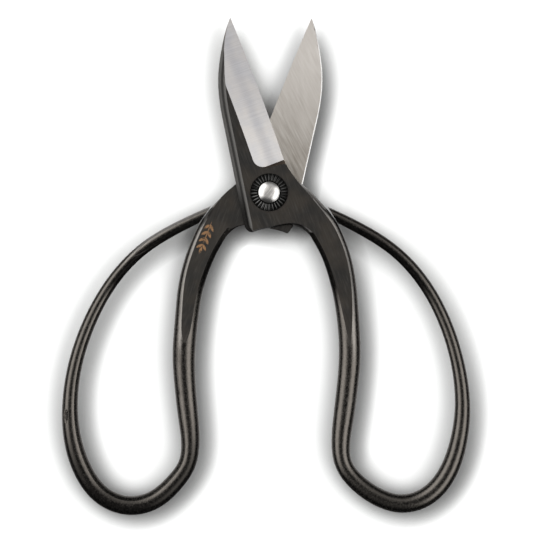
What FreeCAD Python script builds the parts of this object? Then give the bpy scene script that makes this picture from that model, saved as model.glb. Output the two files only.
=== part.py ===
import FreeCAD, Part
import math
import os

# Floral snips: two forged halves that cross at one rivet.
# A half is drawn with the joint plane at z = 0, its pivot at x = y = 0, its blade towards +Y and
# its loop on the +X side. The front half keeps that pose. The rear half is the same forging
# turned over about the Y axis. The assembly is then lifted so that z = 0 is the flat of the
# rear rivet head, on which the tool rests.

Vector = FreeCAD.Vector
UP = Vector(0, 0, 1)
PIVOT = Vector(0, 0, 0)

# Heights over the joint plane
PLATE_THICK = 3.3            # one half's thickness at the pivot
FACE_GAP = 0.01              # each inner face stands this far off the joint plane
BACK_CHAMFER = 0.36          # height of the small chamfer along the inner edge of the spine
WALL_BREAK = 1.9             # height where the steep wall turns into the broad chamfer
WALL_SHARE = 0.38            # the part of a wall's total inset that is used up at WALL_BREAK

# Blade
TIP = Vector(-13.9, 59.8, 0)
EDGE_HEEL = Vector(5.05, 11.0, 0)
EDGE_BULGE = 0.4             # how far the cutting edge bows out of the straight line
TIP_SETBACK = 3.0            # how far the outer face's tip lies behind the point, along the edge
EDGE_LAND = 0.08             # thickness left along the cutting edge
BEVEL_WIDTH = 9.9            # from the cutting edge to where the bevel meets the outer face
BEVEL_HOLLOW = 0.1           # depth of the hollow grind
BEVEL_END_SLOPE = 1.5        # horizontal run of the wall that ends the bevel
# The bevel's end as it shows on the outer face, in steps past the heel along the edge towards the
# tip and in from the edge: a straight line from the edge, then a rounded corner.
BEVEL_END_FOOT = (-1.6, -3.0)
BEVEL_CORNER_START = (-0.4, 6.0)
BEVEL_CORNER_MIDDLE = (1.25, 9.05)
BEVEL_CORNER_END = (4.6, 10.0)
BEVEL_PAST_TIP = 60.0        # the ground area goes on past the tip

# Pivot
RIVET_RADIUS = 2.25
RUNNING_CLEARANCE = 0.05     # radial, between the front half and the rivet
FIXED_CLEARANCE = 0.01       # radial, between the rivet and the pieces it is clenched to
HEAD_RADIUS = 3.6
HEAD_RIM = 0.3               # straight side of a rivet head
HEAD_DOME = 1.2              # height of a rivet head's dome over its rim
REST_FLAT_CUT = 0.3          # height peened off the rear head to make the flat it rests on
WASHER_RADIUS = 6.45
WASHER_RIM = 0.4             # washer thickness at its outer rim
WASHER_CROWN = 1.35          # washer thickness where the flutes end
WASHER_SEAT = 1.05           # washer thickness under the rivet head
SEAT_LIP = 0.05              # the crown slopes down by this much to the recess for the head
SEAT_RADIUS = 3.85           # radius of the recess that takes the rivet head
CROWN_RADIUS = 4.15
FLUTES = 30
FLUTE_START = 3.9            # radius where the flutes start, just outside the recess
FLUTE_DEPTH_IN = 0.2
FLUTE_DEPTH_OUT = 0.42
FLUTE_WIDTH_SHARE = 0.8      # width of a flute as a share of the spacing between flutes

# Handle
RAMP_START = 17.0            # distance along the shank where the inner face leaves the joint plane
RAMP_LEAVES = 58.0           # distance along the shank where the ramp is as low as the round bar
SHANK_HEADING = -60.0        # degrees from +X, the way the shank leaves the pivot plate
BAR_RINGS = 96               # rings of control points along the whole bar
SHANK_RINGS = 28             # how many of them lie before the bar turns from shank to loop
RING_POLES = 12              # control points around a ring

# Tools that cut or bound a solid reach past it by these lengths
SPACE_START = -40.0          # along the shank
SPACE_END = 110.0
SPACE_SIDE = 60.0
GRINDER_ROOM = 2.5           # past the bevel on each side
GRINDER_HEIGHT = 8.0
GRINDER_LEAD = 0.6           # degrees past each end of the cutting edge
END_CUT_ROOM = 3.5
END_CUT_DEPTH = 12.0
TALL = 10.0                  # over and under the joint plane
SPARE = 0.3                  # over a washer's surface

JOINT_HEIGHT = PLATE_THICK + WASHER_SEAT + HEAD_RIM + HEAD_DOME - REST_FLAT_CUT

# The outline of blade and pivot plate, in runs from the tip round to the tip again.
# Each point is x, y, the wall's inset at the outer face, the inset of the inner chamfer.
SPINE_CURVE = [
    (TIP.x, TIP.y, 0.0, 0.0),
    (-15.25, 55.8, 1.3, 0.2),
    (-16.85, 48.4, 2.3, 0.4),
    (-17.83, 39.2, 2.6, 0.4),
    (-17.3, 31.2, 2.65, 0.4),
    (-16.2, 25.1, 2.65, 0.4),
]
SPINE_LOW = (-8.35, -11.3, 2.65, 0.4)
LOWER_EDGE = [
    (-2.5, -12.75, 0.5, 0.0),
    (1.3, -12.05, 0.55, 0.0),
    (7.0, -11.05, 0.6, 0.0),
    (11.0, -12.0, 1.0, 0.3),
    (14.0, -14.5, 1.4, 0.9),
    (17.2, -18.6, 1.6, 1.3),
]
OUTER_EDGE = [
    (23.0, -12.4, 1.6, 1.3),
    (21.3, -7.35, 1.7, 0.8),
    (18.1, -3.6, 1.5, 0.35),
    (13.8, 0.8, 1.0, 0.1),
    (10.7, 3.35, 0.45, 0.0),
    (7.7, 6.7, 0.15, 0.0),
    (EDGE_HEEL.x, EDGE_HEEL.y, 0.0, 0.0),
]
# The rounded corner below the spine differs a little from half to half: its middle at the inner
# face, its middle at the outer face, and the first point of the lower edge.
FRONT_LOBE = ((-7.4, -12.95), (-5.55, -12.1), (-5.3, -13.62, 0.5, 0.0))
REAR_LOBE = ((-7.5, -12.6), (-6.15, -12.15), (-6.3, -13.95, 0.5, 0.0))

# The handle's centre line, from inside the pivot plate round to the free end.
# Each station is x, y, the bar's width in the plane of the tool, its height, and the height of its
# middle over the joint plane.
BAR_ROOT = [
    (12.5, -4.5, 7.0, 4.6, 1.6),
    (15.6, -8.2, 9.2, 4.65, 1.6),
    (18.4, -11.85, 10.15, 4.8, 1.55),
    (20.6, -15.7, 9.95, 5.2, 1.4),
    (22.6, -20.0, 9.6, 5.55, 1.25),
]
FRONT_BAR = [
    (24.7, -26.5, 9.1, 6.1, 0.95),
    (26.2, -33.5, 8.4, 6.4, 0.65),
    (27.15, -40.5, 7.8, 6.55, 0.35),
    (27.85, -47.5, 7.5, 6.65, 0.05),
    (28.15, -55.0, 7.45, 6.55, 0.0),
    (27.45, -66.0, 7.3, 6.5, 0.0),
    (26.25, -76.5, 7.1, 6.5, 0.0),
    (25.4, -85.0, 6.5, 6.3, 0.0),
    (26.35, -92.6, 6.0, 5.95, 0.0),
    (31.0, -98.8, 6.05, 6.0, 0.0),
    (37.5, -103.4, 6.2, 6.15, 0.0),
    (46.6, -106.0, 6.4, 6.3, 0.0),
    (55.7, -102.9, 6.55, 6.35, 0.0),
    (62.15, -95.0, 6.45, 6.35, 0.0),
    (65.7, -84.3, 5.95, 5.9, 0.0),
    (66.9, -72.0, 5.3, 5.25, 0.0),
    (65.4, -59.3, 4.7, 4.7, 0.0),
    (60.85, -44.4, 4.35, 4.3, 0.0),
    (53.5, -30.8, 4.15, 4.1, 0.0),
    (42.9, -19.4, 3.95, 3.95, 0.0),
    (29.7, -11.25, 3.9, 3.9, 0.0),
    (24.9, -8.85, 3.75, 3.85, 0.0),
    (16.0, -4.7, 3.2, 3.6, 0.0),
]
REAR_BAR = [
    (24.95, -26.5, 9.1, 6.1, 0.95),
    (26.65, -33.5, 8.6, 6.4, 0.65),
    (27.5, -40.5, 8.15, 6.6, 0.35),
    (28.15, -47.5, 7.9, 6.7, 0.05),
    (28.6, -56.0, 7.75, 6.6, 0.0),
    (28.05, -66.5, 7.3, 6.5, 0.0),
    (26.9, -76.8, 7.0, 6.5, 0.0),
    (26.05, -86.0, 6.35, 6.3, 0.0),
    (27.0, -92.9, 6.1, 6.0, 0.0),
    (31.7, -99.95, 6.3, 6.15, 0.0),
    (37.9, -105.35, 6.5, 6.3, 0.0),
    (47.0, -107.6, 6.55, 6.4, 0.0),
    (56.5, -103.85, 6.55, 6.35, 0.0),
    (63.05, -95.0, 6.55, 6.4, 0.0),
    (66.5, -84.3, 6.05, 6.0, 0.0),
    (67.35, -72.5, 5.35, 5.35, 0.0),
    (65.7, -59.4, 4.85, 4.8, 0.0),
    (61.0, -45.0, 4.5, 4.45, 0.0),
    (53.7, -31.55, 4.15, 4.1, 0.0),
    (42.95, -19.8, 4.05, 4.0, 0.0),
    (29.7, -11.55, 3.9, 3.9, 0.0),
    (24.8, -9.1, 3.75, 3.85, 0.0),
    (16.0, -4.9, 3.2, 3.6, 0.0),
]
# The free end is cut off at a slant, along a line that runs close beside the shank. Each line is
# given by the cut's point and its foot. The front half's end stands off the shank at its point.
FRONT_END_CUT = (Vector(20.2, -4.8, 0), Vector(22.9, -9.3, 0))
REAR_END_CUT = (Vector(19.75, -4.8, 0), Vector(22.9, -9.3, 0))


def flat_point(x, y, z=0.0):
    return Vector(x, y, z)


def spline_through(points):
    curve = Part.BSplineCurve()
    curve.interpolate(points)
    return curve


def line_edge(start, end):
    return Part.makeLine(start, end)


def arc_edge(start, middle, end):
    return Part.Arc(start, middle, end).toShape()


def inset_run(run, top_share, bottom_share):
    """The run's points, each moved into the metal along the run's own normal."""
    flat = [flat_point(x, y) for x, y, top, bottom in run]
    curve = spline_through(flat)
    moved = []
    for point, (x, y, top, bottom) in zip(flat, run):
        tangent = curve.tangent(curve.parameter(point))[0]
        inward = UP.cross(tangent).normalize()
        moved.append(point + inward * (top * top_share + bottom * bottom_share))
    return moved


def at_height(points, z):
    return [flat_point(point.x, point.y, z) for point in points]


def edge_frame():
    """Middle of the cutting edge's chord, the way along it to the tip, and the way out of it."""
    along = (TIP - EDGE_HEEL).normalize()
    outward = along.cross(UP).normalize()
    return (TIP + EDGE_HEEL) * 0.5, along, outward


def edge_centre_and_radius():
    middle, along, outward = edge_frame()
    half_chord = TIP.distanceToPoint(EDGE_HEEL) / 2
    radius = (half_chord ** 2 + EDGE_BULGE ** 2) / (2 * EDGE_BULGE)
    return middle + outward * (EDGE_BULGE - radius), radius


def outline_wire(lobe, z, top_share, bottom_share):
    """The closed outline at one height. The shares say how much of each inset applies there."""
    middle, along, outward = edge_frame()
    tip = TIP - along * (TIP_SETBACK * top_share)
    curve = inset_run(SPINE_CURVE, top_share, bottom_share)
    curve[0] = tip
    straight = inset_run([SPINE_CURVE[-1], SPINE_LOW], top_share, bottom_share)
    curve[-1] = straight[0]
    lobe_middle, lobe_middle_top, lobe_end = lobe
    lower = inset_run([lobe_end] + LOWER_EDGE, top_share, bottom_share)
    outer = inset_run(OUTER_EDGE, top_share, bottom_share)
    turn = flat_point(*lobe_middle) * (1 - top_share) + flat_point(*lobe_middle_top) * top_share
    bulge = middle + outward * EDGE_BULGE

    curve = at_height(curve, z)
    straight = at_height(straight, z)
    lower = at_height(lower, z)
    outer = at_height(outer, z)
    turn, bulge, tip = at_height([turn, bulge, tip], z)
    edges = [
        spline_through(curve).toShape(),
        line_edge(straight[0], straight[1]),
        arc_edge(straight[1], turn, lower[0]),
        spline_through(lower).toShape(),
        line_edge(lower[-1], outer[0]),
        spline_through(outer).toShape(),
        arc_edge(outer[-1], bulge, tip),
    ]
    return Part.Wire(edges)


def blade_and_plate(lobe):
    """Blade and pivot plate before grinding, with the drafted walls and chamfers."""
    levels = [
        outline_wire(lobe, FACE_GAP, 0.0, 1.0),
        outline_wire(lobe, BACK_CHAMFER, 0.0, 0.0),
        outline_wire(lobe, WALL_BREAK, WALL_SHARE, 0.0),
        outline_wire(lobe, PLATE_THICK, 1.0, 0.0),
    ]
    return Part.makeLoft(levels, True, True)


def ring_poles(centre, across, height):
    """Control points of an upright oval about the centre; the vector across it is half as wide."""
    downward = UP * (-height / 2)
    spread = 3 / (2 + math.cos(2 * math.pi / RING_POLES))
    poles = []
    for number in range(RING_POLES):
        angle = 2 * math.pi * number / RING_POLES
        offset = downward * math.cos(angle) + across * math.sin(angle)
        poles.append(centre + offset * spread)
    return poles


def bar_rings(bar):
    """Rings all along the shank and the bent loop, one bar whose section changes as it goes."""
    stations = BAR_ROOT + bar
    points = [flat_point(x, y, lift) for x, y, width, height, lift in stations]
    steps = [0.0]
    for before, after in zip(points[:-1], points[1:]):
        steps.append(steps[-1] + before.distanceToPoint(after))
    path = Part.BSplineCurve()
    path.interpolate(Points=points, Parameters=steps)
    sizes = Part.BSplineCurve()
    size_points = [flat_point(width, height) for x, y, width, height, lift in stations]
    sizes.interpolate(Points=size_points, Parameters=steps)
    rings = []
    for number in range(BAR_RINGS + 1):
        place = steps[-1] * number / BAR_RINGS
        size = sizes.value(place)
        side = UP.cross(path.tangent(place)[0]).normalize()
        rings.append(ring_poles(path.value(place), side * (size.x / 2), size.y))
    return rings


def bar_solid(rings):
    """A smooth solid bar with its control points on the rings and a flat cap at each end."""
    count = len(rings)
    skin = Part.BSplineSurface()
    skin.buildFromPolesMultsKnots(
        rings,
        [4] + [1] * (count - 4) + [4],
        [1] * (RING_POLES + 1),
        list(range(count - 2)),
        list(range(RING_POLES + 1)),
        False, True, 3, 3,
    )
    side = skin.toShape()
    first, last = side.ParameterRange[0], side.ParameterRange[1]
    faces = [side]
    for place in (first, last):
        faces.append(Part.Face(Part.Wire([skin.uIso(place).toShape()])))
    shell = Part.Shell(faces)
    shell.sewShape()
    solid = Part.Solid(shell)
    if solid.Volume < 0:
        solid.reverse()
    return solid


def flattened_space():
    """The space a shank is hammered into: under the outer face and over the inner face.

    The inner face is the joint plane near the pivot, then a ramp down past the round bar.
    """
    heading = math.radians(SHANK_HEADING)
    along = Vector(math.cos(heading), math.sin(heading), 0)
    across = UP.cross(along)
    fall = PLATE_THICK / (RAMP_LEAVES - RAMP_START)
    profile = [
        along * SPACE_START + UP * FACE_GAP,
        along * RAMP_START + UP * FACE_GAP,
        along * SPACE_END - UP * (fall * (SPACE_END - RAMP_START)),
        along * SPACE_END + UP * PLATE_THICK,
        along * SPACE_START + UP * PLATE_THICK,
    ]
    start = [point - across * SPACE_SIDE for point in profile]
    face = Part.Face(Part.makePolygon(start + [start[0]]))
    return face.extrude(across * (2 * SPACE_SIDE))


def beyond_end_cut(end_cut):
    """The space on the shank's side of the slanting cut that ends the loop."""
    point, foot = end_cut
    run = (foot - point).normalize()
    away = run.cross(UP).normalize()
    start = point - run * END_CUT_ROOM - UP * TALL
    end = foot + run * END_CUT_ROOM - UP * TALL
    corners = [start, end, end + away * END_CUT_DEPTH, start + away * END_CUT_DEPTH]
    return Part.Face(Part.makePolygon(corners + [start])).extrude(UP * (2 * TALL))


def bevel_end_plan(z):
    """The plan of the ground area at one height. Lower down its end wall lies nearer the tip."""
    middle, along, outward = edge_frame()
    shift = BEVEL_END_SLOPE * (1 - z / PLATE_THICK)

    def place(forward, inside):
        spot = EDGE_HEEL + along * forward - outward * inside
        return flat_point(spot.x, spot.y, z)

    def end_place(step):
        forward, inside = step
        return place(forward + shift, inside)

    foot = end_place(BEVEL_END_FOOT)
    corner_start = end_place(BEVEL_CORNER_START)
    corner_middle = end_place(BEVEL_CORNER_MIDDLE)
    corner_end = end_place(BEVEL_CORNER_END)
    far_inside = place(BEVEL_PAST_TIP, BEVEL_WIDTH + GRINDER_ROOM)
    far_edge = place(BEVEL_PAST_TIP, -GRINDER_ROOM)
    return Part.Wire([
        line_edge(foot, corner_start),
        arc_edge(corner_start, corner_middle, corner_end),
        line_edge(corner_end, far_inside),
        line_edge(far_inside, far_edge),
        line_edge(far_edge, foot),
    ])


def bevel_tool():
    """The body that a grinding wheel takes off the outer side of the blade."""
    centre, radius = edge_centre_and_radius()
    rise = (PLATE_THICK - EDGE_LAND) / BEVEL_WIDTH
    to_heel = (EDGE_HEEL - centre).normalize()

    def place(inside, lift):
        height = EDGE_LAND + inside * rise + lift
        return centre + to_heel * (radius - inside) + UP * height

    outside = place(-GRINDER_ROOM, 0)
    deepest = place(BEVEL_WIDTH / 2, -BEVEL_HOLLOW)
    inside = place(BEVEL_WIDTH + GRINDER_ROOM, 0)
    over_inside = inside + UP * GRINDER_HEIGHT
    over_outside = outside + UP * GRINDER_HEIGHT
    profile = Part.Wire([
        arc_edge(outside, deepest, inside),
        line_edge(inside, over_inside),
        line_edge(over_inside, over_outside),
        line_edge(over_outside, outside),
    ])
    span = math.degrees(TIP.distanceToPoint(EDGE_HEEL) / radius)
    face = Part.Face(profile)
    face.rotate(centre, UP, -GRINDER_LEAD)
    swept = face.revolve(centre, UP, span + 3 * GRINDER_LEAD)
    plans = [bevel_end_plan(-SPARE), bevel_end_plan(PLATE_THICK + SPARE)]
    return swept.common(Part.makeLoft(plans, True, True))


def pivot_hole(clearance):
    return Part.makeCylinder(RIVET_RADIUS + clearance, 2 * TALL, flat_point(0, 0, -TALL), UP)


def make_half(bar, end_cut, lobe, clearance):
    """One forging: blade, pivot plate, shank and loop in one solid."""
    rings = bar_rings(bar)
    shank = bar_solid(rings[:SHANK_RINGS + 1])
    bow = bar_solid(rings[SHANK_RINGS:]).cut(beyond_end_cut(end_cut))
    blank = blade_and_plate(lobe).fuse([shank.common(flattened_space()), bow])
    half = blank.cut(bevel_tool())
    half = half.cut(pivot_hole(clearance))
    return max(half.Solids, key=lambda solid: solid.Volume)


def turned_over(shape):
    """The shape turned half a turn about the Y axis, as the rear pieces lie."""
    copy = shape.copy()
    copy.rotate(PIVOT, Vector(0, 1, 0), 180)
    return copy


def turned_profile(points, arcs):
    """A solid of revolution about the pivot axis. An arc is given by its middle point."""
    edges = []
    closed = points + [points[0]]
    for number, (start, end) in enumerate(zip(closed[:-1], closed[1:])):
        if number in arcs:
            edges.append(arc_edge(start, arcs[number], end))
        else:
            edges.append(line_edge(start, end))
    return Part.Face(Part.Wire(edges)).revolve(PIVOT, UP, 360)


def section_point(radius, z):
    return Vector(radius, 0, z)


def flute_triangle(radius, depth):
    """The V of a flute at one radius, from over the washer's cone down to the flute's floor."""
    fall = (WASHER_CROWN - WASHER_RIM) / (WASHER_RADIUS - CROWN_RADIUS)
    top = PLATE_THICK + WASHER_CROWN - fall * (radius - CROWN_RADIUS)
    half_width = math.pi * radius / FLUTES * FLUTE_WIDTH_SHARE * (depth + SPARE) / depth
    corners = [
        Vector(radius, -half_width, top + SPARE),
        Vector(radius, half_width, top + SPARE),
        Vector(radius, 0, top - depth),
    ]
    return Part.makePolygon(corners + [corners[0]])


def flute_cutter():
    """A wedge that cuts one V between two petals of the washer."""
    inner = flute_triangle(FLUTE_START, FLUTE_DEPTH_IN)
    outer = flute_triangle(WASHER_RADIUS + SPARE, FLUTE_DEPTH_OUT)
    return Part.makeLoft([inner, outer], True, True)


def make_washer():
    """The fluted washer, sitting on a half's outer face."""
    base = PLATE_THICK
    bore = RIVET_RADIUS + FIXED_CLEARANCE
    points = [
        section_point(bore, base),
        section_point(WASHER_RADIUS, base),
        section_point(WASHER_RADIUS, base + WASHER_RIM),
        section_point(CROWN_RADIUS, base + WASHER_CROWN),
        section_point(SEAT_RADIUS, base + WASHER_CROWN - SEAT_LIP),
        section_point(SEAT_RADIUS, base + WASHER_SEAT),
        section_point(bore, base + WASHER_SEAT),
    ]
    washer = turned_profile(points, {})
    cutter = flute_cutter()
    cutters = []
    for number in range(FLUTES):
        copy = cutter.copy()
        copy.rotate(PIVOT, UP, 360 * number / FLUTES)
        cutters.append(copy)
    return washer.cut(Part.makeCompound(cutters))


def dome_point(radius):
    """Radius and height of a point on the front head's dome."""
    sphere = (HEAD_RADIUS ** 2 + HEAD_DOME ** 2) / (2 * HEAD_DOME)
    crown = PLATE_THICK + WASHER_SEAT + HEAD_RIM + HEAD_DOME
    return section_point(radius, crown - sphere + math.sqrt(sphere ** 2 - radius ** 2))


def rest_flat_radius():
    sphere = (HEAD_RADIUS ** 2 + HEAD_DOME ** 2) / (2 * HEAD_DOME)
    return math.sqrt(sphere ** 2 - (sphere - REST_FLAT_CUT) ** 2)


def under(point):
    """The same place on the rear side of the joint plane."""
    return section_point(point.x, -point.z)


def make_rivet():
    """The rivet with both heads. The rear one is peened flat where the tool rests on it."""
    shoulder = PLATE_THICK + WASHER_SEAT
    flat = rest_flat_radius()
    points = [
        under(section_point(0, JOINT_HEIGHT)),
        under(section_point(flat, JOINT_HEIGHT)),
        under(dome_point(HEAD_RADIUS)),
        under(section_point(HEAD_RADIUS, shoulder)),
        under(section_point(RIVET_RADIUS, shoulder)),
        section_point(RIVET_RADIUS, shoulder),
        section_point(HEAD_RADIUS, shoulder),
        dome_point(HEAD_RADIUS),
        dome_point(0),
    ]
    arcs = {
        1: under(dome_point((flat + HEAD_RADIUS) / 2)),
        7: dome_point(HEAD_RADIUS / 2),
    }
    return turned_profile(points, arcs)


def write_node(name, shape):
    """Lifts a finished piece to its height over the resting plane and writes it."""
    placed = shape.copy()
    placed.translate(UP * JOINT_HEIGHT)
    placed.exportStep("parts/" + name + ".step")


os.makedirs("parts", exist_ok=True)
front_half = make_half(FRONT_BAR, FRONT_END_CUT, FRONT_LOBE, RUNNING_CLEARANCE)
rear_half = turned_over(make_half(REAR_BAR, REAR_END_CUT, REAR_LOBE, FIXED_CLEARANCE))
washer = make_washer()
write_node("front_half", front_half)
write_node("rear_half", rear_half)
write_node("front_washer", washer)
write_node("rear_washer", turned_over(washer))
write_node("pivot_rivet", make_rivet())
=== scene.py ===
import math

import bpy
from mathutils import Matrix, Vector

# Floral snips, lying open on a pale floor and seen from straight above.
# Lengths on the snips are in millimetres, because the shader graphs work in them. Lengths of the
# camera, the floor and the reliefs are in metres. Radiances have no unit, angles are in radians.
# Where a name has two values for a range, they are its low end and its high end.


def grey(value, warm=0.0):
    """A grey with a share of warmth, as a linear colour."""
    return (value * (1 + warm), value, value * (1 - warm), 1.0)


MM_PER_METRE = 1000.0

# Heights, and places along the front half, as the CAD parts have them
JOINT_HEIGHT = 5.55           # of the plane where the two halves slide on each other
PLATE_THICK = 3.3             # one half at the pivot
FACE_GAP = 0.01               # each inner face stands this far off the joint plane
BACK_CHAMFER = 0.36           # height of the chamfer along the inner edge of the spine
RAMP_START = 17.0             # distance along the shank where the inner face leaves the joint plane
RAMP_LEAVES = 58.0            # distance along the shank where that ramp is as low as the round bar
EDGE_TILT = math.radians(18.2)           # slope of the ground bevel
EDGE_REACH = 8.7              # from the pivot out to the line of the cutting edge
HOLLOW_LINE = 4.3             # from the cutting edge to the deepest line of the hollow grind
BLADE_START = 5.0             # all of the bevel lies past this Y
SPINE_FOOT = -13.5            # the spine ends at this Y
FLUTES = 30
WASHER_RADIUS = 6.45

# Ways on the front half. The rear half has them turned over.
EDGE_OUT = Vector((0.932, 0.362, 0.0))   # straight out of the cutting edge
EDGE_ALONG = Vector((-0.362, 0.932, 0.0))    # along the cutting edge to the tip
BLADE_WAY = Vector((-0.2, 0.98, 0.0))    # up the blade
SHANK_WAY = Vector((0.5, -math.sqrt(0.75), 0.0))
SHANK_INWARD = Vector((-0.5, -0.85, 0.0))    # out of the shank's inner side
SPINE_OUTWARD = Vector((-1.0, 0.0, 0.0))
SHANK_OUTWARD = Vector((1.0, 0.0, 0.0))
SKIN_BRUSH_WAY = Vector((0.35, -0.94, 0.0)).normalized()
FACE_BRUSH_WAY = Vector((0.45, 0.89, 0.0)).normalized()

CROWN_BRUSH_WAY = Vector((0.6, 0.8, 0.0))    # on the rivet's head

# Where the surfaces of a half begin: heights over its inner face, places along Y, and cosines
# between the surface's normal and a way
OUTER_TOLERANCE = 0.02
INNER_TOLERANCE = 0.03
BEVEL_MATCH = 0.995           # cosine between a surface of the bevel and the bevel's own slope
END_WALL_MATCH = 0.5
FACE_START = (3.6, 4.4)       # up the blade, where the black skin gives way to the bright inner face
SHADED_FACING = (0.02, 0.1)
SHADED_FADE = (-40.0, -30.0)    # the inner side of the shank gets painted shade, as little shine, above this Y
SPINE_FACING = (0.3, 0.6)
ARRIS_HEIGHT = (2.2, 3.0)     # upper arris of the spine
WALL_HEIGHT = (1.7, 2.1)      # where the spine's wall turns into its broad chamfer
WALL_RUB_AND_HIGHLIGHT = (0.7, 0.25)        # how much of the spine's wear and painted highlight shows below and above that
HEEL_FADE = (-8.0, 6.0)       # the wall by the pivot gets less wear and painted highlight
HEEL_RUB_AND_HIGHLIGHT = (0.15, 1.0)
OUTER_EDGE_FACING = (0.15, 0.35)
BY_INNER_FACE = (0.3, 0.8)    # the shank's edges get wear and painted highlight below these heights over its ramp
BY_OUTER_FACE = (2.6, 3.1)    # and above these heights over the inner face
OUTER_EDGE_FADE = (-60.0, -50.0)     # the wear and painted highlight on the edges fade out down the shank
OUTER_EDGE_TOP = -2.0

# How strongly a surface mirrors, in Blender's scale where 0.5 is glass
BAR_SHINE = 0.75
FLAT_SHINE = 0.3
SHADED_SHINE = 0.03
STEEL_SHINE = 0.5
PETAL_SHINE = 0.03
FLUTE_SHINE = 1.0
BAR_TINT = (1.0, 0.92, 0.84, 1.0)    # the oxide on the bars mirrors a little brown
NO_TINT = (1.0, 1.0, 1.0, 1.0)

# Roughness, from the smoothest spots of a surface to the roughest
BAR_ROUGH = (0.16, 0.34)
SKIN_ROUGH = (0.34, 0.48)
STEEL_ROUGH = (0.30, 0.48)
CHAMFER_ROUGH = 0.55
PETAL_ROUGH = (0.2, 0.35)
FLUTE_ROUGH = 0.14
CROWN_ROUGH = (0.42, 0.6)
RIM_ROUGH = 0.2

# Depth of the relief, in metres
BAR_RELIEF = 0.00003
SKIN_RELIEF = 0.00001
STEEL_RELIEF = 0.000006
WASHER_RELIEF = 0.00002
RIVET_RELIEF = 0.00002

# Linear colours of the black oxide
SKIN_BLACK = grey(0.007, 0.06)
SKIN_BROWN = grey(0.015, 0.22)
SKIN_BRUSHED = grey(0.026, 0.08)
BAR_BLACK = grey(0.0015)
BAR_SPECK = grey(0.008, 0.05)
# Worn edges, painted lighter: partly wear, partly painted highlight along the arrises
RUB_AND_HIGHLIGHT_DARK = grey(0.07, 0.02)
RUB_AND_HIGHLIGHT_LIGHT = grey(0.14, 0.02)
WASHER_BLACK = grey(0.001)
WASHER_SPECK = grey(0.004, 0.05)

# Linear colours of the bare steel. Each pair is a plain one and a smudged one.
BEVEL_TIP = ((0.200, 0.200, 0.210, 1.0), (0.225, 0.217, 0.215, 1.0))
BEVEL_HEEL = ((0.250, 0.250, 0.260, 1.0), (0.285, 0.275, 0.268, 1.0))
# The inner face is painted darker and warmer towards the heel, as painted shade by the pivot, and paler
# towards the tip
SHADED_FACE_HEEL = ((0.36, 0.325, 0.285, 1.0), (0.41, 0.38, 0.34, 1.0))
FACE_TIP = (0.78, 0.74, 0.70, 1.0)
# Painted shade: a darker band along the hollow of the grind
HOLLOW_SHADE = (0.155, 0.157, 0.172, 1.0)
HOLLOW_SHARE = 0.45           # how much of that painted shade shows on the hollow's deepest line
HOLLOW_SPREAD = (0.2, 2.6)    # distances from that line between which it fades out
BEVEL_SPAN = (12.0, 40.0)     # distances up the blade between which the heel's colour gives way
FACE_SPAN = (5.0, 50.0)
GRINDING_LINE = grey(0.8)
FACE_LINES = 0.25             # how much the grinding lines show on the inner face
BEVEL_LINES = 0.08
# The chamfer along the inner face is painted almost white, a painted highlight
CHAMFER_HIGHLIGHT = grey(0.95)
# The wall that ends the bevel, painted a darker brown
END_WALL_DARK = (0.12, 0.10, 0.085, 1.0)
CROWN_DARK = grey(0.22, 0.02)
CROWN_LIGHT = grey(0.46, 0.02)
RIM_STEEL = grey(0.42, 0.01)
CROWN_RADII = (1.2, 2.9)      # where the rivet's brushed crown turns into its polished rim

# The washers
PETAL_ROUNDING = 0.2          # how far the petals look rounded, 0 for flat facets
WALL_LEAN = (0.15, 0.45)      # cosine of a flute's wall towards the next petal
FLUTE_FLOOR = (0.05, 0.4)     # shares of a flute's pitch from its shaded floor to its lit arris, for the painted shade
# Painted shade on the flutes' shine by the rim and towards the blades
RIM_SHADE_RADII = (5.2, WASHER_RADIUS)
RIM_SHADED_SHARE = 0.1
UPPER_FLUTES = (-1.0, 5.0)    # the flutes towards the blades get more painted shade
UPPER_SHADED_SHARE = 0.5

# Gilt sprig on the rear shank
SPRIG_FOOT = Vector((-19.4, -9.9, 0.0))
SPRIG_TURN = math.radians(-111)      # the way the stem runs, from +X
SPRIG_LENGTH = 9.5
STEM_WIDTH = 0.35
LEAF_PAIRS = 4
FIRST_LEAF = 0.6              # how far up its own stretch of the stem each pair of leaves grows
LEAF_TURN = math.radians(42)         # from the stem out to a leaf
LEAF_LENGTH = 2.6
LEAF_WIDTH = 0.95
GILT = (0.33, 0.19, 0.10, 1.0)
GILT_WEAR = (0.38, 0.5)

# The rear loop: its middle, and where its painted shade gives way to full shine going up
LOOP_MIDDLE = Vector((-47.0, -60.0, 5.0))
LOOP_FACING = (-0.1, 0.3)     # cosines from the loop's inner side to its outer side
FOOT_FADE = (-98.0, -70.0)
FOOT_SHADE = 0.8

# The dent in the rear loop
DENT_PLACE = Vector((-68.6, -76.9, 8.4))
DENT_LENGTH = 2.6
DENT_WIDTH = 0.8
DENT_RIM = (0.6, 1.4)         # shares of its size from the bottom of the dent to its rim
DENT_RAGGED = 0.8
DENT_DEPTH = 0.0005           # in metres

# Camera
FRAME_WIDTH = 0.1823          # width of the picture at the joint plane
CAMERA_HEIGHT = 1.5
CAMERA_TURN = math.radians(0.575)
CAMERA_AIM = Vector((-0.00065, -0.02532, 0.00555))
SENSOR_WIDTH = 36.0           # in millimetres, as Blender takes it

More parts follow.
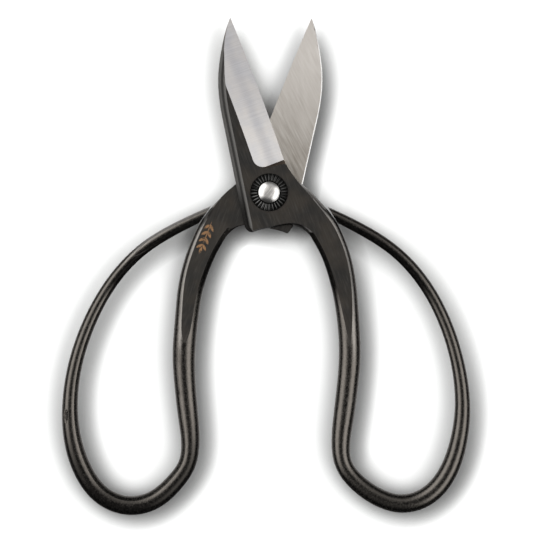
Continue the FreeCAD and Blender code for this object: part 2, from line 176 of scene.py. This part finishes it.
# Studio light: radiances, and angles off the vertical
CENTRE_LIGHT = 0.06           # straight overhead, where the camera stands in the way
OVERHEAD_LIGHT = 0.4
CENTRE_SPREAD = (0.1, 0.4)    # angles off the vertical from the one to the other
FAR_OVERHEAD = 0.25           # what is left of the overhead light towards -Y
FAR_OVERHEAD_Y = (-0.7, 0.1)  # how far a direction leans in Y, from there to full strength
HORIZON_FADE = (0.1, 0.6)     # how steep a direction is, from no overhead light to all of it
BELOW_LIGHT = 0.7             # light that comes back up off the floor into a reflection
BELOW_FADE = (-0.5, -0.15)
FAR_BELOW = 0.1               # what is left of it towards -Y
FAR_BELOW_Y = (-0.6, 0.0)
BACKDROP_LIGHT = 1.0          # what the camera sees past the edge of the floor
LIGHT_COLOUR = (1.0, 0.985, 0.96, 1.0)
# Each softbox: its inner and outer angle off the vertical, its radiance
LEFT_BOX = (math.radians(18), math.radians(84), 3.8)
RIGHT_BOX = (math.radians(14), math.radians(77), 4.0)
TOP_BOX = (math.radians(20), math.radians(70), 0.7)
BOTTOM_BOX = (math.radians(20), math.radians(60), 0.2)
LEFT_BOX_TURN = math.radians(18)     # the left softbox stands this far round towards +Y
RIGHT_BOX_TURN = math.radians(12)    # and the right one this far round towards -Y
BOX_SOFT = math.radians(26)   # width of a softbox's faded rim
BOX_END = 0.45                # cosine of the half-width of a softbox, where it has faded out
BOX_FULL = 0.92               # the same where it is at full strength

# The floor, and its shadow where the snips hide much of the sky
FLOOR_SIZE = 3.0
FLOOR_PALE = grey(0.88, -0.02)
FLOOR_SHADOW = grey(0.22, -0.02)
FLOOR_CREVICE = grey(0.01)
FLOOR_ROUGH = 0.9
SHADOW_LEAN = (-0.5, 0.42, 0.76)  # the open sky that a contact shadow looks for
CREVICE_RANGE = (0.15, 0.5)   # the shares of open sky between a black crevice and a shadow
SHADOW_RANGE = (0.52, 1.05)   # the shares of open sky that give the darkest and the palest floor
SHADOW_REACH = 0.0085         # how far a contact shadow spreads over the floor
SHADOW_SAMPLES = 16


def new_material(name):
    """An empty material with nodes."""
    material = bpy.data.materials.new(name)
    material.use_nodes = True
    return material


class Graph:
    """A node tree with short ways to add nodes to it and to join them."""

    def __init__(self, owner):
        self.tree = owner.node_tree
        self.shader = self.tree.nodes.get("Principled BSDF")

    def put(self, socket, value):
        """Links another node's output to a socket, or sets the socket to a plain value."""
        if isinstance(value, bpy.types.NodeSocket):
            self.tree.links.new(value, socket)
        else:
            socket.default_value = value

    def math(self, operation, a, b=0.0):
        node = self.tree.nodes.new("ShaderNodeMath")
        node.operation = operation
        self.put(node.inputs[0], a)
        self.put(node.inputs[1], b)
        return node.outputs[0]

    def vector(self, operation, a, b=(0.0, 0.0, 0.0)):
        node = self.tree.nodes.new("ShaderNodeVectorMath")
        node.operation = operation
        self.put(node.inputs[0], a)
        self.put(node.inputs[1], b)
        return node.outputs["Value" if operation in ("DOT_PRODUCT", "LENGTH") else "Vector"]

    def place(self):
        """The place on the object, in millimetres."""
        node = self.tree.nodes.new("ShaderNodeTexCoord")
        return self.vector("MULTIPLY", node.outputs["Object"], (MM_PER_METRE,) * 3)

    def normal(self):
        """The normal in the object's own axes."""
        node = self.tree.nodes.new("ShaderNodeTexCoord")
        return node.outputs["Normal"]

    def world_normal(self):
        """The normal in the world's own axes, as a shader takes it."""
        return self.tree.nodes.new("ShaderNodeNewGeometry").outputs["Normal"]

    def split(self, vector):
        node = self.tree.nodes.new("ShaderNodeSeparateXYZ")
        self.put(node.inputs[0], vector)
        return node.outputs

    def join(self, x, y, z):
        node = self.tree.nodes.new("ShaderNodeCombineXYZ")
        for socket, value in zip(node.inputs, (x, y, z)):
            self.put(socket, value)
        return node.outputs[0]

    def noise(self, vector, scale, detail, roughness, seed):
        """Noise in 0 to 1. Most of its values lie between 0.3 and 0.8."""
        node = self.tree.nodes.new("ShaderNodeTexNoise")
        node.noise_dimensions = "4D"
        self.put(node.inputs["Vector"], vector)
        self.put(node.inputs["W"], seed)
        self.put(node.inputs["Scale"], scale)
        self.put(node.inputs["Detail"], detail)
        self.put(node.inputs["Roughness"], roughness)
        return node.outputs["Fac"]

    def range(self, value, low, high, to_low=0.0, to_high=1.0):
        """The value's place between low and high, eased and clamped."""
        node = self.tree.nodes.new("ShaderNodeMapRange")
        node.interpolation_type = "SMOOTHSTEP"
        for socket, item in zip(node.inputs, (value, low, high, to_low, to_high)):
            self.put(socket, item)
        return node.outputs[0]

    def mix(self, share, a, b):
        """Colour a where the share is 0 and colour b where it is 1."""
        node = self.tree.nodes.new("ShaderNodeMix")
        node.data_type = "RGBA"
        # The node's colours are its inputs 6 and 7, and their mix is its output 2
        self.put(node.inputs[0], share)
        self.put(node.inputs[6], a)
        self.put(node.inputs[7], b)
        return node.outputs[2]

    def blend(self, share, a, b):
        """Number a where the share is 0 and number b where it is 1."""
        node = self.tree.nodes.new("ShaderNodeMix")
        self.put(node.inputs[0], share)
        self.put(node.inputs[2], a)
        self.put(node.inputs[3], b)
        return node.outputs[0]

    def streaks(self, place, along, length, pitch, seed):
        """Noise drawn out into fine lines that run along a direction in the plane of the tool."""
        across = Vector((-along.y, along.x, 0.0))
        x = self.vector("DOT_PRODUCT", place, tuple(along / length))
        y = self.vector("DOT_PRODUCT", place, tuple(across / pitch))
        return self.noise(self.join(x, y, 0.0), scale=1.0, detail=3.0, roughness=0.6, seed=seed)

    def bump(self, height, distance, normal=None):
        """A normal bent by a height in 0 to 1, where 1 stands the distance in metres proud."""
        node = self.tree.nodes.new("ShaderNodeBump")
        self.put(node.inputs["Height"], height)
        self.put(node.inputs["Distance"], distance)
        self.put(node.inputs["Strength"], 1.0)
        if normal is not None:
            self.put(node.inputs["Normal"], normal)
        return node.outputs[0]


def near(graph, value, target, width):
    """1 where the value lies within the width of the target, else 0."""
    distance = graph.math("ABSOLUTE", graph.math("SUBTRACT", value, target))
    return graph.math("LESS_THAN", distance, width)


class Half:
    """The shader graph of one half, with masks for its different surfaces."""

    def __init__(self, name, side):
        """The side is 1 for the front half and -1 for the rear half, which lies turned over."""
        self.material = new_material(name)
        self.graph = graph = Graph(self.material)
        self.side = side
        self.place = graph.place()
        parts = graph.split(self.place)
        self.y = parts["Y"]

        # Height over the inner face, and the height of that face's ramp along the shank
        over_joint = graph.math("SUBTRACT", parts["Z"], JOINT_HEIGHT)
        self.over_inner = graph.math("MULTIPLY", over_joint, side)
        past_start = graph.math("SUBTRACT", self.reach(SHANK_WAY), RAMP_START)
        fall = PLATE_THICK / (RAMP_LEAVES - RAMP_START)
        drop = graph.math("MULTIPLY", graph.math("MAXIMUM", past_start, 0.0), fall)
        self.ramp = graph.math("SUBTRACT", FACE_GAP, drop)

        on_outer = near(graph, self.over_inner, PLATE_THICK, OUTER_TOLERANCE)
        on_inner = near(graph, self.over_inner, self.ramp, INNER_TOLERANCE)
        self.flat = graph.math("MAXIMUM", on_outer, on_inner)
        self.find_bare_steel()
        self.find_shaded_skin()
        self.find_rubbed_and_highlit_skin()
        self.sprig = None
        self.dent = None

    def turned(self, way):
        """A way on the front half, as this half has it."""
        return Vector((self.side * way.x, way.y, self.side * way.z))

    def reach(self, way):
        """How far along a way the place lies."""
        return self.graph.vector("DOT_PRODUCT", self.place, tuple(self.turned(way)))

    def facing(self, way):
        """The cosine between the surface's normal and a way."""
        return self.graph.vector("DOT_PRODUCT", self.graph.normal(), tuple(self.turned(way)))

    def find_bare_steel(self):
        """Finds the ground bevel by its slope and the bright inner face by its height."""
        graph = self.graph
        on_blade = graph.math("GREATER_THAN", self.y, BLADE_START)
        slope = EDGE_OUT * math.sin(EDGE_TILT) + Vector((0.0, 0.0, math.cos(EDGE_TILT)))
        sloping = graph.math("GREATER_THAN", self.facing(slope), BEVEL_MATCH)
        self.bevel = graph.math("MULTIPLY", sloping, on_blade)

        self.up_blade = self.reach(BLADE_WAY)
        low = graph.math("LESS_THAN", self.over_inner, BACK_CHAMFER)
        self.face = graph.math("MULTIPLY", low, graph.range(self.up_blade, *FACE_START))
        level = graph.math("MAXIMUM", self.flat, self.bevel)
        self.chamfer = graph.math("MULTIPLY", self.face, graph.math("SUBTRACT", 1.0, level))

        # The short wall that ends the bevel, bare steel painted a darker brown than the bevel
        facing_tip = graph.math("GREATER_THAN", self.facing(EDGE_ALONG), END_WALL_MATCH)
        self.end_wall = graph.math("MULTIPLY", facing_tip, on_blade)
        self.bright = graph.math("MAXIMUM", self.bevel, self.face)
        self.bright = graph.math("MAXIMUM", self.bright, self.end_wall)

    def find_shaded_skin(self):
        """Finds the inner side of the shank, which gets painted shade: little shine, so that it stays
        dark.
        """
        graph = self.graph
        from_inside = graph.range(self.facing(SHANK_INWARD), *SHADED_FACING)
        by_plate = graph.range(self.y, *SHADED_FADE)
        black = graph.math("SUBTRACT", 1.0, self.face)
        self.shaded_dull = graph.math("MULTIPLY", from_inside, graph.math("MULTIPLY", by_plate, black))

    def find_rubbed_and_highlit_skin(self):
        """Finds what is painted greyer, partly as wear and partly as painted highlight: the walls of
        the spine and the shank's outer edges.
        """
        graph = self.graph
        from_spine = graph.range(self.facing(SPINE_OUTWARD), *SPINE_FACING)
        on_spine = graph.math("MULTIPLY", from_spine, graph.math("GREATER_THAN", self.y, SPINE_FOOT))
        arris = graph.range(self.over_inner, *ARRIS_HEIGHT)
        wall = graph.range(self.over_inner, *WALL_HEIGHT, *WALL_RUB_AND_HIGHLIGHT)
        wall = graph.math("MULTIPLY", wall, graph.range(self.y, *HEEL_FADE, *HEEL_RUB_AND_HIGHLIGHT))
        spine = graph.math("MULTIPLY", graph.math("MAXIMUM", arris, wall), on_spine)

        outward = graph.range(self.facing(SHANK_OUTWARD), *OUTER_EDGE_FACING)
        over_ramp = graph.math("SUBTRACT", self.over_inner, self.ramp)
        by_inner = graph.range(over_ramp, *BY_INNER_FACE, 1.0, 0.0)
        by_outer = graph.range(self.over_inner, *BY_OUTER_FACE)
        by_flat = graph.math("MAXIMUM", by_inner, by_outer)
        above_fade = graph.range(self.y, *OUTER_EDGE_FADE)
        below_top = graph.math("LESS_THAN", self.y, OUTER_EDGE_TOP)
        on_shank = graph.math("MULTIPLY", above_fade, below_top)
        edge = graph.math("MULTIPLY", graph.math("MULTIPLY", outward, by_flat), on_shank)
        self.rub_and_highlight = graph.math("MAXIMUM", spine, edge)

    def black_skin(self):
        """Colour, roughness and relief of the black oxide: brushed flats and finely pebbled bars."""
        graph = self.graph
        cloud = graph.noise(self.place, scale=0.12, detail=3.0, roughness=0.6, seed=1.0)
        speck = graph.noise(self.place, scale=1.8, detail=3.0, roughness=0.7, seed=2.0)
        pebble = graph.noise(self.place, scale=1.3, detail=3.0, roughness=0.65, seed=3.0)
        brush = graph.streaks(self.place, self.turned(SKIN_BRUSH_WAY), length=6.0, pitch=0.45, seed=4.0)
        skin = graph.mix(graph.range(cloud, 0.35, 0.7), SKIN_BLACK, SKIN_BROWN)
        skin = graph.mix(graph.range(brush, 0.45, 0.8), skin, SKIN_BRUSHED)
        bar = graph.mix(graph.range(speck, 0.4, 0.75), BAR_BLACK, BAR_SPECK)
        # Wear and painted highlight: the spine's walls and the shank's outer edges are painted greyer
        bar = graph.mix(self.rub_and_highlight, bar, graph.mix(brush, RUB_AND_HIGHLIGHT_DARK, RUB_AND_HIGHLIGHT_LIGHT))
        colour = graph.mix(self.flat, bar, skin)
        bar_rough = graph.range(speck, 0.35, 0.7, *BAR_ROUGH)
        rough = graph.blend(self.flat, bar_rough, graph.blend(brush, *SKIN_ROUGH))
        relief = graph.blend(self.flat, pebble, brush)
        return colour, rough, relief

    def ground_steel(self):
        """The same for bare steel: lines across the bevel, slanting lines on the inner face."""
        graph = self.graph
        edge_out = self.turned(EDGE_OUT)
        across_bevel = graph.streaks(self.place, edge_out, length=14.0, pitch=0.35, seed=5.0)
        face_way = self.turned(FACE_BRUSH_WAY)
        along_face = graph.streaks(self.place, face_way, length=10.0, pitch=0.4, seed=6.0)
        lines = graph.blend(self.bevel, along_face, across_bevel)
        smudge = graph.noise(self.place, scale=0.16, detail=3.0, roughness=0.6, seed=7.0)
        smudge = graph.range(smudge, 0.3, 0.7)

        bevel_tip = graph.mix(smudge, *BEVEL_TIP)
        bevel_heel = graph.mix(smudge, *BEVEL_HEEL)
        bevel = graph.mix(graph.range(self.up_blade, *BEVEL_SPAN), bevel_heel, bevel_tip)
        # Painted shade along the deepest line of the hollow grind
        from_edge = graph.math("SUBTRACT", EDGE_REACH, self.reach(EDGE_OUT))
        off_hollow = graph.math("ABSOLUTE", graph.math("SUBTRACT", from_edge, HOLLOW_LINE))
        in_hollow_shade = graph.range(off_hollow, *HOLLOW_SPREAD, HOLLOW_SHARE, 0.0)
        bevel = graph.mix(in_hollow_shade, bevel, HOLLOW_SHADE)
        # Painted shade: the inner face darkens towards the heel
        shaded_face_heel = graph.mix(smudge, *SHADED_FACE_HEEL)
        face = graph.mix(graph.range(self.up_blade, *FACE_SPAN), shaded_face_heel, FACE_TIP)

        steel = graph.mix(self.bevel, face, bevel)
        line_share = graph.blend(self.bevel, FACE_LINES, BEVEL_LINES)
        line_share = graph.math("MULTIPLY", graph.range(lines, 0.3, 0.75), line_share)
        steel = graph.mix(line_share, steel, GRINDING_LINE)
        # Painted highlight on the chamfer
        steel = graph.mix(self.chamfer, steel, CHAMFER_HIGHLIGHT)
        steel = graph.mix(self.end_wall, steel, END_WALL_DARK)
        rough = graph.blend(self.chamfer, graph.blend(lines, *STEEL_ROUGH), CHAMFER_ROUGH)
        return steel, rough, lines

    def add_sprig(self):
        """A small gilt sprig of leaves on the shank's inner face, a plain ornament."""
        graph = self.graph
        along = Vector((math.cos(SPRIG_TURN), math.sin(SPRIG_TURN), 0.0))
        shapes = [self.leaf(SPRIG_FOOT, along, SPRIG_LENGTH, STEM_WIDTH)]
        shapes.append(self.leaf(SPRIG_FOOT + along * SPRIG_LENGTH, along, LEAF_LENGTH, LEAF_WIDTH))
        for number in range(LEAF_PAIRS):
            foot = SPRIG_FOOT + along * (SPRIG_LENGTH * (number + FIRST_LEAF) / LEAF_PAIRS)
            for turn in (LEAF_TURN, -LEAF_TURN):
                way = Matrix.Rotation(turn, 3, "Z") @ along
                shapes.append(self.leaf(foot, way, LEAF_LENGTH, LEAF_WIDTH))
        sprig = shapes[0]
        for shape in shapes[1:]:
            sprig = graph.math("MAXIMUM", sprig, shape)
        wear = graph.noise(self.place, scale=1.6, detail=3.0, roughness=0.7, seed=8.0)
        sprig = graph.math("MULTIPLY", sprig, graph.range(wear, *GILT_WEAR))
        self.sprig = graph.math("MULTIPLY", sprig, self.flat)

    def leaf(self, foot, way, length, width):
        """1 inside a pointed leaf that starts at its foot, else 0."""
        graph = self.graph
        offset = graph.vector("SUBTRACT", self.place, tuple(foot))
        forward = graph.math("DIVIDE", graph.vector("DOT_PRODUCT", offset, tuple(way)), length)
        aside = graph.vector("DOT_PRODUCT", offset, (-way.y, way.x, 0.0))
        bend = graph.math("MULTIPLY", forward, graph.math("SUBTRACT", 1.0, forward))
        half_width = graph.math("MULTIPLY", bend, 2 * width)
        return graph.math("LESS_THAN", graph.math("ABSOLUTE", aside), half_width)

    def add_shaded_foot(self):
        """The outer side of the loop's foot gets painted shade: its shine is cut, so that its
        reflection stays dark.
        """
        graph = self.graph
        from_middle = graph.vector("SUBTRACT", self.place, tuple(LOOP_MIDDLE))
        outward = graph.vector("NORMALIZE", from_middle)
        outside = graph.vector("DOT_PRODUCT", graph.normal(), outward)
        foot = graph.range(self.y, *FOOT_FADE, FOOT_SHADE, 0.0)
        foot_shade = graph.math("MULTIPLY", graph.range(outside, *LOOP_FACING), foot)
        self.shaded_dull = graph.math("MAXIMUM", self.shaded_dull, foot_shade)

    def add_dent(self):
        """A small old dent in the top of the loop, 0 in its middle and 1 around it."""
        graph = self.graph
        offset = graph.vector("SUBTRACT", self.place, tuple(DENT_PLACE))
        sizes = (1.0 / DENT_WIDTH, 1.0 / DENT_LENGTH, 1.0 / DENT_LENGTH)
        distance = graph.vector("LENGTH", graph.vector("MULTIPLY", offset, sizes))
        ragged = graph.noise(self.place, scale=0.9, detail=2.0, roughness=0.5, seed=9.0)
        ragged = graph.math("MULTIPLY", ragged, DENT_RAGGED)
        self.dent = graph.range(graph.math("ADD", distance, ragged), *DENT_RIM)

    def finish(self):
        """Puts the looks together and returns the material."""
        graph = self.graph
        shader = graph.shader.inputs
        black, black_rough, black_relief = self.black_skin()
        steel, steel_rough, steel_relief = self.ground_steel()
        metal = self.bright
        if self.sprig is not None:
            black = graph.mix(self.sprig, black, GILT)
            metal = graph.math("MAXIMUM", self.bright, self.sprig)
        graph.put(shader["Base Color"], graph.mix(self.bright, black, steel))
        graph.put(shader["Metallic"], metal)
        graph.put(shader["Roughness"], graph.blend(self.bright, black_rough, steel_rough))
        # Painted shade: the shank's inner side and the loop's foot get almost no shine
        shine = graph.blend(self.flat, graph.blend(self.shaded_dull, BAR_SHINE, SHADED_SHINE), FLAT_SHINE)
        graph.put(shader["Specular IOR Level"], graph.blend(self.bright, shine, STEEL_SHINE))
        graph.put(shader["Specular Tint"], graph.mix(self.flat, BAR_TINT, NO_TINT))
        relief = graph.blend(self.bright, black_relief, steel_relief)
        black_depth = graph.blend(self.flat, BAR_RELIEF, SKIN_RELIEF)
        normal = graph.bump(relief, graph.blend(self.bright, black_depth, STEEL_RELIEF))
        if self.dent is not None:
            normal = graph.bump(self.dent, DENT_DEPTH, normal)
        graph.put(shader["Normal"], normal)
        return self.material


def washer_material():
    """Black oxide: dull on top of the petals, glossy on the walls of the flutes between them."""
    material = new_material("glossy_black")
    graph = Graph(material)
    shader = graph.shader.inputs
    place = graph.place()
    x, y, z = graph.split(place)
    around = graph.vector("NORMALIZE", graph.join(graph.math("MULTIPLY", y, -1.0), x, 0.0))
    turned = graph.math("ABSOLUTE", graph.vector("DOT_PRODUCT", graph.normal(), around))
    wall = graph.range(turned, *WALL_LEAN)
    speck = graph.noise(place, scale=3.0, detail=3.0, roughness=0.6, seed=11.0)
    specked = graph.range(speck, 0.35, 0.75)
    graph.put(shader["Base Color"], graph.mix(specked, WASHER_BLACK, WASHER_SPECK))
    graph.put(shader["Roughness"], graph.blend(wall, graph.blend(speck, *PETAL_ROUGH), FLUTE_ROUGH))

    # Painted shade: less shine on the floors of the flutes and by the rim, most of all towards the
    # blades
    flute = graph.math("MULTIPLY", graph.math("ARCTAN2", y, x), FLUTES / (2 * math.pi))
    lit_share = graph.range(graph.math("PINGPONG", flute, 0.5), *FLUTE_FLOOR)
    radius = graph.vector("LENGTH", graph.join(x, y, 0.0))
    lit_share = graph.math("MULTIPLY", lit_share, graph.range(radius, *RIM_SHADE_RADII, 1.0, RIM_SHADED_SHARE))
    lit_share = graph.math("MULTIPLY", lit_share, graph.range(y, *UPPER_FLUTES, 1.0, UPPER_SHADED_SHARE))
    wall_shine = graph.math("MULTIPLY", lit_share, FLUTE_SHINE)
    graph.put(shader["Specular IOR Level"], graph.blend(wall, PETAL_SHINE, wall_shine))

    # The petals are slightly rounded, so that they lean less than their flat facets do
    upright = graph.range(z, JOINT_HEIGHT - 1, JOINT_HEIGHT + 1, -PETAL_ROUNDING, PETAL_ROUNDING)
    rounded = graph.vector("ADD", graph.world_normal(), graph.join(0.0, 0.0, upright))
    rounded = graph.vector("NORMALIZE", rounded)
    graph.put(shader["Normal"], graph.bump(speck, WASHER_RELIEF, rounded))
    return material


def rivet_material():
    """Bare steel: brushed slantwise on the crown, polished towards the rim."""
    material = new_material("polished_steel")
    graph = Graph(material)
    shader = graph.shader.inputs
    place = graph.place()
    parts = graph.split(place)
    radius = graph.vector("LENGTH", graph.join(parts["X"], parts["Y"], 0.0))
    polished = graph.range(radius, *CROWN_RADII)
    brush = graph.streaks(place, CROWN_BRUSH_WAY, length=5.0, pitch=0.4, seed=12.0)
    crown = graph.mix(graph.range(brush, 0.3, 0.7), CROWN_DARK, CROWN_LIGHT)
    graph.put(shader["Base Color"], graph.mix(polished, crown, RIM_STEEL))
    graph.put(shader["Metallic"], 1.0)
    crown_rough = graph.blend(brush, *CROWN_ROUGH)
    graph.put(shader["Roughness"], graph.blend(polished, crown_rough, RIM_ROUGH))
    graph.put(shader["Normal"], graph.bump(brush, RIVET_RELIEF))
    return material


def floor_material():
    """A pale floor that darkens where little open sky is left over it."""
    material = new_material("pale_floor")
    graph = Graph(material)
    shader = graph.shader.inputs
    occlusion = graph.tree.nodes.new("ShaderNodeAmbientOcclusion")
    occlusion.samples = SHADOW_SAMPLES
    graph.put(occlusion.inputs["Distance"], SHADOW_REACH)
    graph.put(occlusion.inputs["Normal"], graph.join(*SHADOW_LEAN))
    sky = occlusion.outputs["AO"]
    shadow = graph.mix(graph.range(sky, *CREVICE_RANGE), FLOOR_CREVICE, FLOOR_SHADOW)
    graph.put(shader["Base Color"], graph.mix(graph.range(sky, *SHADOW_RANGE), shadow, FLOOR_PALE))
    graph.put(shader["Roughness"], FLOOR_ROUGH)
    return material


def dress(node, material):
    """Puts a material on a CAD node through its object's own slots."""
    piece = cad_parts[node]
    for slot in piece.material_slots:
        slot.link = "OBJECT"
        slot.material = material


def add_floor():
    """The pale floor. Reflections don't show it: the world's light from below stands for it."""
    bpy.ops.mesh.primitive_plane_add(size=FLOOR_SIZE, location=(0, 0, 0))
    floor = bpy.context.object
    floor.name = "floor"
    floor.data.materials.append(floor_material())
    floor.visible_glossy = False


def studio_world():
    """Soft studio light from all round: dim overhead, a bright band of softboxes, a dark horizon."""
    world = bpy.data.worlds.new("studio")
    world.use_nodes = True
    graph = Graph(world)
    background = graph.tree.nodes["Background"]
    direction = graph.tree.nodes.new("ShaderNodeTexCoord").outputs["Generated"]
    x, y, z = graph.split(direction)
    off_vertical = graph.math("ARCCOSINE", z)
    # How level a direction is, kept a little over 0 straight up, because it divides
    level = graph.math("SQRT", graph.math("SUBTRACT", 1.0001, graph.math("MULTIPLY", z, z)))
    rightness = graph.math("DIVIDE", x, level)
    upness = graph.math("DIVIDE", y, level)

    def box(side, inner, outer, radiance):
        """A soft-edged light where side is near 1, between two angles off the vertical."""
        starts = graph.range(off_vertical, inner, inner + BOX_SOFT)
        ends = graph.range(off_vertical, outer - BOX_SOFT, outer, 1.0, 0.0)
        window = graph.math("MULTIPLY", starts, ends)
        return graph.math("MULTIPLY", window, graph.range(side, BOX_END, BOX_FULL, 0.0, radiance))

    left_way = (-math.cos(LEFT_BOX_TURN), math.sin(LEFT_BOX_TURN), 0.0)
    right_way = (math.cos(RIGHT_BOX_TURN), -math.sin(RIGHT_BOX_TURN), 0.0)
    bearing = graph.join(rightness, upness, 0.0)
    left = box(graph.vector("DOT_PRODUCT", bearing, left_way), *LEFT_BOX)
    right = box(graph.vector("DOT_PRODUCT", bearing, right_way), *RIGHT_BOX)
    top = box(upness, *TOP_BOX)
    bottom = box(graph.math("MULTIPLY", upness, -1.0), *BOTTOM_BOX)
    overhead = graph.range(off_vertical, *CENTRE_SPREAD, CENTRE_LIGHT, OVERHEAD_LIGHT)
    overhead = graph.math("MULTIPLY", overhead, graph.range(z, *HORIZON_FADE))
    overhead = graph.math("MULTIPLY", overhead, graph.range(y, *FAR_OVERHEAD_Y, FAR_OVERHEAD, 1.0))
    below = graph.range(z, *BELOW_FADE, BELOW_LIGHT, 0.0)
    below = graph.math("MULTIPLY", below, graph.range(y, *FAR_BELOW_Y, FAR_BELOW, 1.0))
    light = graph.math("ADD", overhead, below)
    for lamp in (left, right, top, bottom):
        light = graph.math("ADD", light, lamp)
    background.inputs["Color"].default_value = LIGHT_COLOUR
    seen = graph.tree.nodes.new("ShaderNodeLightPath").outputs["Is Camera Ray"]
    graph.put(background.inputs["Strength"], graph.blend(seen, light, BACKDROP_LIGHT))
    bpy.context.scene.world = world


def add_camera():
    """The camera, straight above and looking down."""
    camera = bpy.data.cameras.new("camera")
    camera.sensor_width = SENSOR_WIDTH
    camera.lens = SENSOR_WIDTH * CAMERA_HEIGHT / FRAME_WIDTH
    rig = bpy.data.objects.new("camera", camera)
    rig.location = CAMERA_AIM + Vector((0, 0, CAMERA_HEIGHT))
    rig.rotation_euler = (0, 0, CAMERA_TURN)
    bpy.context.scene.collection.objects.link(rig)
    bpy.context.scene.camera = rig


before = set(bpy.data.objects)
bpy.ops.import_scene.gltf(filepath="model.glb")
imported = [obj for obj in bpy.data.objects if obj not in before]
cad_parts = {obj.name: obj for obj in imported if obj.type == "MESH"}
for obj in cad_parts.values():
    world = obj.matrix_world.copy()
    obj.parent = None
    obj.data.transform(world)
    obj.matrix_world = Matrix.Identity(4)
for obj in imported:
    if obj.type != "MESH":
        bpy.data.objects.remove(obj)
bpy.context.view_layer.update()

dress("front_half", Half("blackened_steel_front", 1.0).finish())
rear = Half("blackened_steel_rear", -1.0)
rear.add_sprig()
rear.add_shaded_foot()
rear.add_dent()
dress("rear_half", rear.finish())
glossy_black = washer_material()
dress("front_washer", glossy_black)
dress("rear_washer", glossy_black)
dress("pivot_rivet", rivet_material())

add_floor()
studio_world()
add_camera()
bpy.context.scene.view_settings.view_transform = "Standard"
